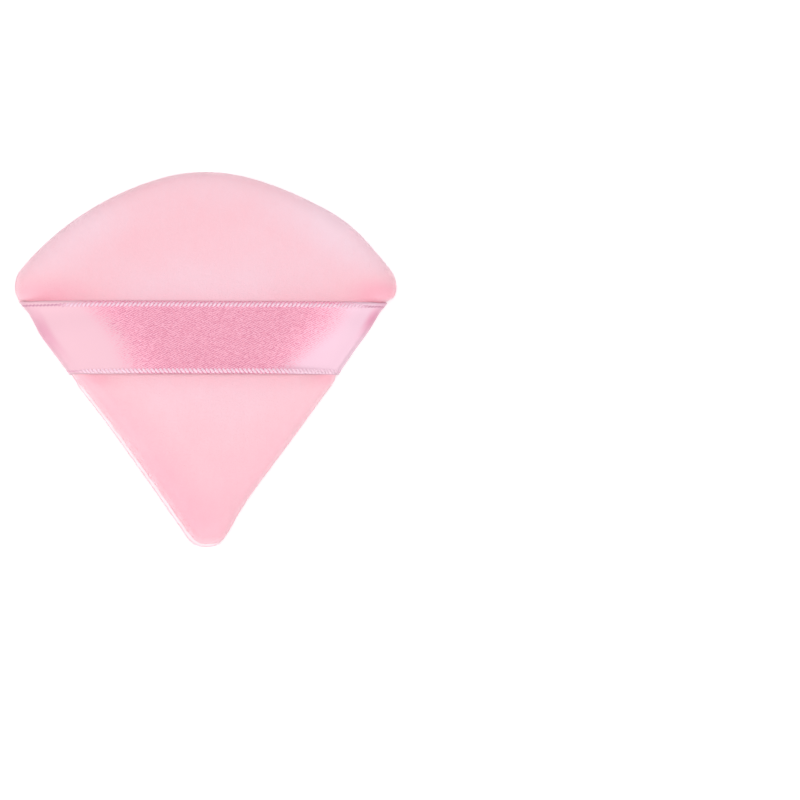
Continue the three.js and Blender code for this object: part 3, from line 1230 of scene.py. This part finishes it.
    def pile(self) -> bpy.types.Object:
        """Makes the fibres that stand out of the edge roll, each a slim three-sided spike.

        A fibre starts at a seeded place on the outer skin and leans off its normal. Its foot is
        a small triangle round that place, and its tip is one length along its lean.
        """
        draw = np.random.default_rng(70 + self.side.value)
        first = self.section.face_steps + self.section.roll_steps // 2
        grid = self.outer[first:]
        normals = self.outward(self.outer)[first:]
        inset = self.rows[first:, 0]
        row = draw.uniform(0, len(grid) - 3, self.pile_count)
        column = draw.uniform(0, self.columns, self.pile_count)
        lower, share = row.astype(int), (row % 1)[:, None]
        left, part = column.astype(int) % self.columns, (column % 1)[:, None]
        right = (left + 1) % self.columns

        def at(values: np.ndarray) -> np.ndarray:
            """Values of the grid at each fibre, between its four nearest points."""
            near = values[lower, left] * (1 - part) + values[lower, right] * part
            far = values[lower + 1, left] * (1 - part) + values[lower + 1, right] * part
            return near * (1 - share) + far * share

        foot, out = at(grid), unit(at(normals))
        lean = draw.normal(0, self.pile_lean, foot.shape) + np.array([0, self.pile_comb, 0])
        along = unit(out + lean)
        length = self.pile_length * draw.uniform(*self.pile_length_shares, (self.pile_count, 1))
        room = foot[:, 2:] + length * np.minimum(along[:, 2:], 0) > 0.05 * MM
        under_ribbon = (foot[:, 1] > RIBBON_LOW - MM) & (foot[:, 1] < RIBBON_HIGH + MM)
        keep = room[:, 0] & ~(under_ribbon & (self.side is Side.FRONT))
        foot, along, length = foot[keep], along[keep], length[keep]
        first_across = unit(np.cross(along, [0.3, 0.2, 0.9]))
        second_across = np.cross(along, first_across)
        turns = FULL_TURN * np.arange(3) / 3
        base = [
            foot - 0.1 * length * along
            + self.pile_width * (np.cos(t) * first_across + np.sin(t) * second_across)
            for t in turns
        ]
        points = np.stack([*base, foot + length * along], 1).reshape(-1, 3)
        start = 4 * np.arange(len(foot))[:, None, None]
        faces = start + np.array([[0, 2, 1], [0, 1, 3], [1, 2, 3], [2, 0, 3]])
        inset_there = np.interp(row[keep], np.arange(len(inset)), inset)
        # Painted light and shade for each fibre, as on the cover.
        painted_light_and_shade = self.painted_light_and_shade(foot, inset_there)
        # Painted sheen: the fibres are paler than the cover by a share of near-white.
        painted_sheen = self.pile_painted_sheen_share + self.painted_sheen(foot, inset_there)
        return mesh_piece(
            f"{self.side.name.lower()}_pile",
            (points, faces.reshape(-1, 3).tolist()),
            self.finish,
            {"painted_light_and_shade": np.repeat(painted_light_and_shade, 4), "painted_sheen": np.repeat(painted_sheen, 4)},
            smooth=False,
        )


@dataclass
class FoamCore:
    """Foam that fills both covers, with a groove round its edge for the hems and threads."""

    outline: FanOutline
    section: PadSection
    finish: bpy.types.Material
    columns: int = 288
    cut_depth: float = 0.04 * MM
    cut_length: float = 5 * MM

    def half(self, side: Side) -> np.ndarray:
        """Insets and heights of one half, from the groove to the middle of the face."""
        section = self.section
        away = section.wall + section.core_clearance
        reach = section.thread_radius + section.thread_clearance
        groove_z = section.seam_z + side.value * (section.lip_rise + section.wall + 2 * reach)
        lip = np.linspace(section.hem_inset, section.seam_inset, 6) + section.core_clearance
        roll = quarter_ellipse(
            (section.edge_inset, section.bulge_z(side)),
            section.edge_inset - away,
            section.rim_z(side) - section.bulge_z(side) - side.value * away,
            section.roll_steps,
        )
        roll = roll[(roll[:, 1] - groove_z) * side.value > 0]
        lip_rows = np.stack([lip, np.full(6, groove_z)], 1)
        return np.concatenate([lip_rows, roll, section.face(side, self.outline.radius, -away)])

    def build(self) -> bpy.types.Object:
        """Makes the core, with the slight waviness of a sawn block."""
        rows = np.concatenate([self.half(Side.FRONT)[::-1], self.half(Side.BACK)])
        rings = self.outline.rings(rows, self.columns)
        cut = self.cut_depth * (1 + waves(rings, self.cut_length, 9, 5))[..., None]
        middle = np.array([0, self.outline.centre_y, self.section.seam_z])
        rings = rings - cut * unit(rings - middle)
        core = mesh_piece("foam_core_block", skin(rings), self.finish)
        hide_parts("foam_core")
        return core


def tube(
    path: np.ndarray, up: np.ndarray, radius: Any, flatness: float = 1.0, sides: int = 8
) -> Shape:
    """Closed tube round a path: each ring is a circle across the path, or an ellipse.

    Args:
        path: points of its centreline.
        up: direction of the ring's short axis at each point.
        radius: radius along the long axis, for each point and side or for all.
        flatness: short axis over long axis.
        sides: number of points on each ring.

    Returns:
        Points and faces.
    """
    along = unit(np.gradient(path, axis=0))
    across = unit(np.cross(along, up))
    rise = np.cross(across, along)
    turn = FULL_TURN * np.arange(sides) / sides
    wide = np.cos(turn)[None, :, None] * across[:, None]
    high = flatness * np.sin(turn)[None, :, None] * rise[:, None]
    size = np.broadcast_to(np.asarray(radius, float), (len(path), sides))
    rings = path[:, None] + (wide + high) * size[..., None]
    return skin(rings, np.array([path[0], path[-1]]))


@dataclass
class SewingThread:
    """Twisted sewing thread that follows a path."""

    finish: bpy.types.Material
    radius: float = 0.15 * MM
    twist_pitch: float = 0.9 * MM
    groove: float = 0.12
    step: float = 0.11 * MM
    sides: int = 10

    def build(self, name: str, node: str, path: np.ndarray) -> bpy.types.Object:
        """Makes the thread: a tube with two grooves that wind round it as its plies twist.

        Args:
            name: name of the piece.
            node: node that it stands for.
            path: points of its centreline.

        Returns:
            The piece.
        """
        run = path_length(path)
        places = np.linspace(0, run[-1], int(run[-1] / self.step))
        fine = resample(path, run, places)
        turn = FULL_TURN * np.arange(self.sides) / self.sides
        wound = 2 * (turn[None] - FULL_TURN * places[:, None] / (2 * self.twist_pitch))
        radius = self.radius * (1 - self.groove + self.groove * np.cos(wound))
        up = np.broadcast_to([0, 0, 1.0], fine.shape)
        shape = tube(fine, up, radius, sides=self.sides)
        piece = mesh_piece(name, shape, self.finish)
        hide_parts(node)
        return piece


@dataclass
class PadSeam:
    """Machine seam inside the hems, and the hand-sewn ladder that closes the turning gap."""

    outline: FanOutline
    section: PadSection
    thread: SewingThread
    closing_length: float = 24 * MM
    closing_top: float = -8 * MM
    closing_pitch: float = 2.4 * MM
    closing_spread_share: float = 0.3
    closing_inset_share: float = 0.2
    stitch_length: float = 2.6 * MM
    stitch_dip: float = 0.06 * MM
    crossing_steps: int = 16
    squareness: float = 1.4
    count: int = 2400

    @cached_property
    def closing_bottom(self) -> float:
        """Height up the face at which the closing stitch ends."""
        return self.closing_top - self.closing_length * self.outline.side_normal[0]

    def machine_path(self, side: Side) -> np.ndarray:
        """Path of one machine thread along its hem, pulled towards the seam at each stitch.

        Args:
            side: which hem.

        Returns:
            Points from one end of the turning gap round to the other.
        """
        section = self.section
        rise = section.lip_rise + section.wall + section.thread_clearance + section.thread_radius
        inset = section.seam_inset + section.seam_allowance / 2
        row = np.array([[inset, section.seam_z + side.value * rise]])
        ring = self.outline.rings(row, self.count)[0]
        outline = self.outline.closed(self.count)
        gap = (outline[:, 0] > 0) & (outline[:, 1] < self.closing_top)
        gap &= outline[:, 1] > self.closing_bottom
        start = np.flatnonzero(gap)[-1] + 1
        path = np.roll(ring, -start, axis=0)[: self.count - gap.sum()]
        pulled = np.cos(FULL_TURN * path_length(path) / self.stitch_length) ** 8
        path[:, 2] -= side.value * self.stitch_dip * pulled
        return path

    def closing_path(self) -> np.ndarray:
        """Path of the ladder: it runs down the groove and swings from cover to cover.

        Its height is a cosine of the way down the side, made squarer by a hyperbolic tangent.
        """
        crossings = 2 * round(self.closing_length / self.closing_pitch)
        way = np.linspace(0, 1, crossings * self.crossing_steps + 1)
        y = self.closing_top + (self.closing_bottom - self.closing_top) * way
        swing = -np.tanh(self.squareness * np.cos(np.pi * crossings * way))
        swing = swing / np.tanh(self.squareness)
        reach = self.section.bulge_rise * self.closing_spread_share
        x = self.outline.edge_x(y, self.section.seam_inset * self.closing_inset_share, 1)
        return np.stack([x, y, self.section.seam_z + reach * swing], 1)

    def build(self) -> list[bpy.types.Object]:
        """Makes the two machine threads and the closing stitch."""
        return [
            self.thread.build("needle_seam", "needle_thread", self.machine_path(Side.FRONT)),
            self.thread.build("bobbin_seam", "bobbin_thread", self.machine_path(Side.BACK)),
            self.thread.build("closing_ladder", "closing_stitch", self.closing_path()),
        ]


@dataclass
class RibbonStrap:
    """Satin ribbon sewn into both ends of the seam: it wraps the front roll and bows over."""

    outline: FanOutline
    section: PadSection
    finish: bpy.types.Material
    cord_finish: bpy.types.Material
    finger_gap: float = 4.9 * MM
    tail_share: float = 0.87
    leave_turn: float = np.radians(50)
    ripple: float = 0.07 * MM
    ripple_length: float = 14 * MM
    rows: int = 31
    slope_steps: int = 60
    level_steps: int = 25
    cord_pitch: float = 1.74 * MM
    cord_step: float = 0.1 * MM
    cord_sides: int = 8
    cord_flatness: float = 0.6
    strand_radius: float = 0.27 * MM
    strand_swing: float = 0.33 * MM
    flat_swing_share: float = 0.35
    flat_fade: float = 4 * MM
    weave_fade: float = 8 * MM

    @cached_property
    def crown_z(self) -> float:
        """Height of the middle of the strap's thickness where it is level."""
        section = self.section
        return section.thickness + self.finger_gap + section.ribbon_thickness / 2

    @cached_property
    def tail(self) -> np.ndarray:
        """Insets and heights from the end between the hems to where the ribbon leaves the roll.

        It runs level into the groove, turns up a quarter of an ellipse to the fullest part of
        the roll, and follows a second one as far as the turn at which it leaves.
        """
        section = self.section
        away = section.ribbon_clearance + section.ribbon_thickness / 2
        bulge = section.bulge_z(Side.FRONT)
        end = section.seam_inset + section.seam_allowance * self.tail_share
        hem = np.stack([np.linspace(end, section.seam_inset, 7), np.full(7, section.seam_z)], 1)
        lip = section.bulge_rise - section.lip_rise + away
        groove = quarter_ellipse(
            (section.seam_inset, bulge), section.seam_inset + away, -lip, 10
        )[::-1]
        rise = section.rim_z(Side.FRONT) - bulge + away
        roll = quarter_ellipse(
            (section.edge_inset, bulge), section.edge_inset + away, rise, 12, self.leave_turn
        )
        return np.concatenate([hem[:-1], groove, roll[1:]])

    def half(self, y: np.ndarray, hand: int) -> np.ndarray:
        """Right or left half of the ribbon's middle surface, from its end to the pad's middle.

        After the roll the height is a parabola that starts at the roll's own slope and is level
        at its end, so twice the rise over the slope is its run.

        Args:
            y: heights up the face at which rows are made.
            hand: 1 for the right half, -1 for the left one.

        Returns:
            Columns x rows x 3.
        """
        tail = self.tail
        x_tail = hand * self.outline.edge_x(y[None], tail[:, :1], hand)
        z_tail = np.broadcast_to(tail[:, 1:], x_tail.shape)
        slope = (z_tail[-1] - z_tail[-2]) / (x_tail[-2] - x_tail[-1])
        rise = self.crown_z - z_tail[-1]
        run = 2 * rise / slope
        share = np.linspace(0, 1, self.slope_steps + 1)[1:, None]
        x_slope = x_tail[-1] - run * share
        z_slope = z_tail[-1] + rise * share * (2 - share)
        level = np.linspace(1, 0, self.level_steps + 1)[1:, None]
        x_level = x_slope[-1] * level
        z_level = np.full(x_level.shape, self.crown_z)
        x = np.concatenate([x_tail, x_slope, x_level])
        z = np.concatenate([z_tail, z_slope, z_level])
        inset = np.concatenate([np.broadcast_to(tail[:, :1], x_tail.shape), x_tail[-1] - x_slope])
        inset[len(tail):] += tail[-1, 0]
        above = smooth_step(self.section.seam_z, self.section.bulge_z(Side.FRONT), z[: len(inset)])
        z[: len(inset)] -= above * self.section.press(y, inset)
        return np.stack([hand * x, np.broadcast_to(y, x.shape), z], -1)

    def surface(self, y: np.ndarray) -> np.ndarray:
        """Whole middle surface from the left end to the right one, with its soft ripples."""
        whole = np.concatenate([self.half(y, -1)[:-1], self.half(y, 1)[::-1]])
        free = smooth_step(self.section.thickness, self.crown_z, whole[..., 2])
        whole[..., 2] += self.ripple * free * waves(whole[..., :2], self.ripple_length, 6, 3)
        return whole

    def normals(self, surface: np.ndarray) -> np.ndarray:
        """Unit normals of the middle surface, which point away from the pad."""
        along, across = np.gradient(surface, axis=0), np.gradient(surface, axis=1)
        return unit(np.cross(along, across))

    def lie(self, surface: np.ndarray) -> dict[str, np.ndarray]:
        """Where the ribbon's weave gives way to its pale end colour, painted gloss, and where the
        painted fold shade lies over each roll.

        Both follow how far inside the outline a point is, across the pad. The part without weave is
        longest at the middle of the ribbon's width on the left and at its lower edge on the right.
        The painted fold shade is strongest just above that middle on the left, and higher up and
        deeper on the right.

        Args:
            surface: middle surface.

        Returns:
            The weave's share and the painted fold shade, by name, from 0 to 1.
        """
        x, y = surface[..., 0], surface[..., 1]
        edges = [np.abs(self.outline.edge_x(y, 0, hand)) for hand in (-1, 1)]
        inside = np.where(x < 0, *edges) - np.abs(x)
        # Where the weave gives way to the pale end colour, painted gloss, on each side.
        left = 8.8 * MM + 2.2 * MM * hump(y, 4.5 * MM, 4.5 * MM)
        right = 4.8 * MM + 3 * MM * smooth_step(7 * MM, -2 * MM, y)
        start = np.where(x < 0, left, right)
        weave_share = smooth_step(start, start + self.weave_fade, inside)
        # Painted fold shade over each roll.
        fold_shade_end = np.where(x < 0, 2.8 * MM, 2.5 * MM)
        painted_fold_shade = smooth_step(fold_shade_end, fold_shade_end - 1.6 * MM, inside)
        height = np.where(x < 0, 0.65 * hump(y, 5.6 * MM, 4.2 * MM), hump(y, 8.6 * MM, 3 * MM))
        return {"weave_share": weave_share, "painted_fold_shade": painted_fold_shade * height}

    def both_skins(self, values: np.ndarray) -> np.ndarray:
        """Values of the middle surface for the points of both skins, then for the two caps."""
        flat = np.concatenate([values, values[:, ::-1]], axis=1)
        flat = flat.reshape(-1, *values.shape[2:])
        return np.concatenate([flat, flat[:1], flat[-1:]])

    def cord(
        self, name: str, y: float, inwards: float, hand: int, flat: tuple[float, float], pale: float
    ) -> bpy.types.Object:
        """Makes the corded selvedge of one edge: two flattened strands wound round each other.

        Each strand's centre swings across the edge with the cosine of the twist and along the
        normal with its sine. Near the ribbon's ends the strands lie flat. The attribute "rise"
        is highest on top of the strand that lies on top, and paints light there and shade low
        between the turns.

        Args:
            name: name of the piece.
            y: place of the edge up the face.
            inwards: how far inside the edge the cord's middle lies, with its sign.
            hand: 1 or -1, the way it is twisted.
            flat: length over which the strands lie flat at the left end and at the right one.
            pale: what is added to "rise".

        Returns:
            The piece.
        """
        rows = self.surface(y + inwards + np.array([-0.2, 0, 0.2]) * MM)
        path, up = rows[:, 1], self.normals(rows)[:, 1]
        run = path_length(path)
        places = np.arange(0, run[-1], self.cord_step)
        path, up = resample(path, run, places), unit(resample(up, run, places))
        along = unit(np.gradient(path, axis=0))
        across = np.cross(along, up)
        relief = smooth_step(flat[0], flat[0] + self.flat_fade, places)
        relief = relief * smooth_step(flat[1], flat[1] + self.flat_fade, run[-1] - places)
        relief = relief[:, None]
        swing_share = self.flat_swing_share + (1 - self.flat_swing_share) * relief
        strands, rises = [], []
        for start in (0, np.pi):
            turn = (hand * FULL_TURN * places / self.cord_pitch + start)[:, None]
            swing = np.cos(turn) * across + self.cord_flatness * np.sin(turn) * up
            centre = path + self.strand_swing * swing_share * swing
            strand = tube(centre, up, self.strand_radius, self.cord_flatness, self.cord_sides)
            around = np.sin(FULL_TURN * np.arange(self.cord_sides) / self.cord_sides)
            # Painted shade and light: darker low between the turns, lighter on top.
            rise = 0.5 + pale + relief * (0.28 * np.sin(turn) + 0.22 * around)
            strands.append(strand)
            rises.append(np.append(rise, [0.5, 0.5]))
        rise = {"rise": np.concatenate(rises)}
        return mesh_piece(name, joined(strands), self.cord_finish, rise)

    def build(self) -> list[bpy.types.Object]:
        """Makes the ribbon as one closed sheet with its thickness, then its two selvedges.

        Returns:
            The ribbon, then the selvedges.
        """
        section = self.section
        y = np.linspace(RIBBON_LOW, RIBBON_HIGH, self.rows)
        surface = self.surface(y)
        half = self.normals(surface) * section.ribbon_thickness / 2
        rings = np.concatenate([surface + half, (surface - half)[:, ::-1]], axis=1)
        caps = np.array([surface[0].mean(0), surface[-1].mean(0)])
        run = path_length(surface)
        from_middle = run - run[len(run) // 2]
        uv = np.stack([from_middle, np.broadcast_to(y, run.shape)], -1) / MM
        lies = {key: self.both_skins(value) for key, value in self.lie(surface).items()}
        ribbon = mesh_piece(
            "ribbon_satin", skin(rings, caps), self.finish, lies, self.both_skins(uv)
        )
        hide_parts("ribbon_strap", "ribbon_end_left", "ribbon_end_right")
        flat_upper, flat_lower = (13 * MM, 9 * MM), (7.5 * MM, 5 * MM)
        inset_upper, inset_lower = 0.78 * MM, 0.62 * MM
        pale_upper, pale_lower = -0.14, 0.02
        upper = self.cord("selvedge_upper", RIBBON_HIGH, -inset_upper, 1, flat_upper, pale_upper)
        lower = self.cord("selvedge_lower", RIBBON_LOW, inset_lower, -1, flat_lower, pale_lower)
        return [ribbon, upper, lower]


@dataclass
class Softbox:
    """Soft lamp that faces the puff, or a card of light that only gloss mirrors."""

    name: str
    place: tuple[float, float, float]
    size: tuple[float, float]
    power: float
    card: bool = False

    def build(self) -> None:
        """Makes the lamp and turns it to the puff."""
        light = bpy.data.lights.new(self.name, "AREA")
        light.shape = "RECTANGLE"
        light.size, light.size_y = self.size
        light.energy = self.power
        lamp = placed(self.name, light)
        lamp.location = self.place
        lamp.rotation_euler = (-Vector(self.place)).to_track_quat("-Z", "Y").to_euler()
        lamp.visible_camera = False
        lamp.visible_glossy = self.card
        lamp.visible_diffuse = not self.card


@dataclass
class Studio:
    """White floor and surroundings, soft lamps, and the camera above the puff."""

    frame_width: int = 800
    lens: float = 200
    sensor: float = 36
    pixel: float = 0.2083 * MM
    puff_pixel: tuple[float, float] = (207.3, 360.0)
    puff_middle: tuple[float, float, float] = (0, 0, 8 * MM)
    tilt_left: float = 4.5
    tilt_down: float = 1.5
    ambient: float = 0.42
    floor_drop: float = 0.1 * MM
    floor_glow: float = 0.26
    floor_reach: float = 3.0
    floor_near: float = 0.2
    floor_far: float = 0.7

    def camera(self) -> None:
        """Makes the camera so that the puff's middle falls on its own pixel of the frame.

        It looks from a little to the left and a little to the tip's side, from the distance at
        which one pixel is one step of the photograph's scale.
        """
        focal = self.frame_width * self.lens / self.sensor
        distance = focal * self.pixel
        left, down = np.radians([self.tilt_left, self.tilt_down])
        level = np.cos(left) * np.cos(down)
        back = Vector((-np.sin(left) * np.cos(down), -np.sin(down), level)).normalized()
        half = self.frame_width / 2
        across = (self.puff_pixel[0] - half) / focal
        up = (half - self.puff_pixel[1]) / focal
        aim = Vector((0, 0, -1)).rotation_difference(Vector((across, up, -1)))
        right = Vector((0, 1, 0)).cross(back).normalized()
        axes = Matrix([right, back.cross(right), back]).transposed()
        look = axes.to_quaternion() @ aim.inverted()
        data = bpy.data.cameras.new("camera")
        data.lens = self.lens
        data.sensor_width = self.sensor
        camera = placed("camera", data)
        camera.rotation_mode = "QUATERNION"
        camera.rotation_quaternion = look
        camera.location = Vector(self.puff_middle) + back * distance
        bpy.context.scene.camera = camera

    def world(self) -> None:
        """Makes the surroundings white to look at, and softer as a light."""
        world = bpy.data.worlds.new("studio")
        bpy.context.scene.world = world
        graph = Graph(world)
        path = graph.node("LightPath").outputs
        seen = graph.math("ADD", path["Is Camera Ray"], path["Is Glossy Ray"])
        seen = graph.math("ADD", seen, path["Is Transmission Ray"], clamp=True)
        strength = graph.line(seen, 1 - self.ambient, self.ambient)
        shader = graph.node("Background", {"Color": (1, 1, 1, 1), "Strength": strength})
        graph.node("OutputWorld", {"Surface": shader.outputs[0]})

    def floor(self) -> None:
        """Makes the floor: a wide white sheet that keeps the puff's shadow.

        Near the puff the lamps light it and a little glow makes it white. Further off, where
        they no longer reach, the glow rises until it is white by itself.
        """
        mesh = bpy.data.meshes.new("floor")
        reach = self.floor_reach
        corners = [(-reach, -reach), (reach, -reach), (reach, reach), (-reach, reach)]
        mesh.from_pydata([(x, y, -self.floor_drop) for x, y in corners], [], [(0, 1, 2, 3)])
        graph = Graph(bpy.data.materials.new("white_floor"))
        path = graph.node("LightPath").outputs
        seen = graph.math("ADD", path["Is Camera Ray"], path["Is Glossy Ray"], clamp=True)
        place = graph.node("TexCoord").outputs["Object"]
        away = graph.node("VectorMath", {0: place}, operation="LENGTH").outputs["Value"]
        share = graph.node(
            "MapRange",
            {
                "Value": away,
                "From Min": self.floor_near,
                "From Max": self.floor_far,
                "To Min": self.floor_glow,
                "To Max": 1.0,
            },
        ).outputs["Result"]
        glow = graph.math("MULTIPLY", seen, share)
        graph.principled(
            {
                "Base Color": (0.97, 0.97, 0.97, 1),
                "Roughness": 1.0,
                "Specular IOR Level": 0.0,
                "Emission Color": (1, 1, 1, 1),
                "Emission Strength": glow,
            }
        )
        mesh.materials.append(graph.owner)
        placed("floor", mesh)

    def build(self) -> None:
        """Makes the whole studio and sets the plain view transform."""
        self.camera()
        self.world()
        self.floor()
        for lamp in (
            Softbox("softbox_left", (-0.63, -0.01, 0.58), (0.07, 0.6), 2.25),
            Softbox("softbox_right", (0.67, -0.01, 0.55), (0.07, 0.6), 2.1),
            Softbox("softbox_top", (-0.08, 0.03, 1.0), (0.2, 0.2), 2.4),
            Softbox("softbox_low_left", (-0.5, -0.62, 0.06), (0.5, 0.1), 0.8),
            Softbox("softbox_low", (0.15, -0.8, 0.07), (0.5, 0.1), 1.1),
            Softbox("card_left", (-0.58, -0.42, 0.5), (0.5, 1.2), 2.0, card=True),
            Softbox("card_right", (0.653, -0.473, 0.326), (0.5, 0.9), 2.5, card=True),
        ):
            lamp.build()
        bpy.context.scene.view_settings.view_transform = "Standard"


def main() -> None:
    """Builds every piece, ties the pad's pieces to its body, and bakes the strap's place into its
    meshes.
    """
    logging.basicConfig(level=logging.INFO, format="%(message)s")
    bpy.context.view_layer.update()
    Studio().build()
    outline, section = FanOutline(), PadSection()
    thread = SewingThread(
        SpunThread("thread", linear(240, 168, 190), linear(250, 196, 212)).material()
    )
    for side in Side:
        velour = Velour(f"velour_{side.name.lower()}").material()
        for piece in VelourCover(side, outline, section, Filling(), velour).build():
            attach(piece, "pad")
    core = FoamCore(outline, section, Foam().material()).build()
    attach(core, "pad")
    for piece in PadSeam(outline, section, thread).build():
        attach(piece, "pad")
    cord = SelvedgeYarn().material()
    strap = RibbonStrap(outline, section, Satin().material(), cord)
    leave_z = float(strap.tail[-1, 1])
    for piece in strap.build():
        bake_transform(piece)


if __name__ == "__main__":
    main()
